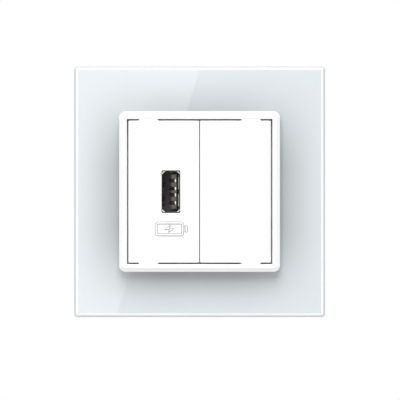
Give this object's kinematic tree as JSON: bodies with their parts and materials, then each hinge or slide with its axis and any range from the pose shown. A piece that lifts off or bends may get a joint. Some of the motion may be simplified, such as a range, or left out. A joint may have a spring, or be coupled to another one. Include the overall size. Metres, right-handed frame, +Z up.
{
  "type": "usb wall socket",
  "caption": "Square glass-panel wall socket with a raised white frame that holds a USB charging insert beside a blank insert, on a steel wall-box bracket with screw terminals behind.",
  "frame": {"origin": "on the wall plane, at the centre of the wall-box screw slots and of the square panel", "axes": "+X to the right seen from the room, +Y into the wall, +Z up"},
  "size_m": [0.08, 0.0412, 0.08],
  "materials": {
    "panel_glass": "clear glass over a white backing, polished edge",
    "white_gloss_plastic": "glossy moulded polycarbonate",
    "carrier_plastic": "fine moulded texture",
    "adhesive_tape": "white foam tape",
    "galvanised_steel": "galvanised sheet",
    "housing_plastic": "fine spark-eroded texture",
    "port_steel": "nickel plated sheet",
    "port_plastic": "dark moulded insulator",
    "contact_gold": "gold plated spring",
    "board_laminate": "green solder mask",
    "ferrite": "sintered and ground",
    "bobbin_plastic": "moulded",
    "winding_tape": "yellow polyester tape",
    "tinned_wire": "tinned",
    "capacitor_sleeve": "printed-free dark sleeve on a can",
    "disc_lacquer": "dipped blue lacquer",
    "fuse_lacquer": "lacquered",
    "package_resin": "moulded",
    "terminal_plastic": "moulded polyamide",
    "terminal_brass": "stamped",
    "screw_steel": "zinc plated"
  },
  "bodies": {
    "socket": {"glass_panel": "panel_glass", "bezel": "white_gloss_plastic", "usb_face_plate": "white_gloss_plastic", "blank_face_plate": "white_gloss_plastic", "panel_carrier": "carrier_plastic", "panel_tape": "adhesive_tape", "mounting_bracket": "galvanised_steel", "usb_housing": "housing_plastic", "usb_shell": "port_steel", "usb_tongue": "port_plastic", "usb_contact_1": "contact_gold", "usb_contact_2": "contact_gold", "usb_contact_3": "contact_gold", "usb_contact_4": "contact_gold", "charger_board": "board_laminate", "transformer_core": "ferrite", "transformer_bobbin": "bobbin_plastic", "transformer_winding": "winding_tape", "transformer_pins": "tinned_wire", "input_capacitor_front": "capacitor_sleeve", "input_capacitor_rear": "capacitor_sleeve", "output_capacitor": "capacitor_sleeve", "safety_capacitor": "disc_lacquer", "fuse": "fuse_lacquer", "bridge_rectifier": "package_resin", "controller_chip": "package_resin", "output_diode": "package_resin", "terminal_block": "terminal_plastic", "line_strip": "terminal_brass", "neutral_strip": "terminal_brass"},
    "line_screw": {"line_screw": "screw_steel"},
    "line_clamp": {"line_clamp": "terminal_brass"},
    "neutral_screw": {"neutral_screw": "screw_steel"},
    "neutral_clamp": {"neutral_clamp": "terminal_brass"}
  },
  "joints": [
    {"name": "line_screw_turn", "type": "hinge", "parent": "socket", "child": "line_screw", "pos_m": [-0.01635, 0.0225, -0.0123], "axis": [0, -1, 0], "range_deg": [0, 2160]},
    {"name": "line_clamp_slide", "type": "slide", "parent": "socket", "child": "line_clamp", "axis": [0, 1, 0], "range_m": [0, 0.003]},
    {"name": "neutral_screw_turn", "type": "hinge", "parent": "socket", "child": "neutral_screw", "pos_m": [-0.00635, 0.0225, -0.0123], "axis": [0, -1, 0], "range_deg": [0, 2160]},
    {"name": "neutral_clamp_slide", "type": "slide", "parent": "socket", "child": "neutral_clamp", "axis": [0, 1, 0], "range_m": [0, 0.003]}
  ],
  "couplings": [
    {"joint": "line_screw_turn", "follows": "line_clamp_slide", "rad_per_m": 12566},
    {"joint": "neutral_screw_turn", "follows": "neutral_clamp_slide", "rad_per_m": 12566}
  ]
}
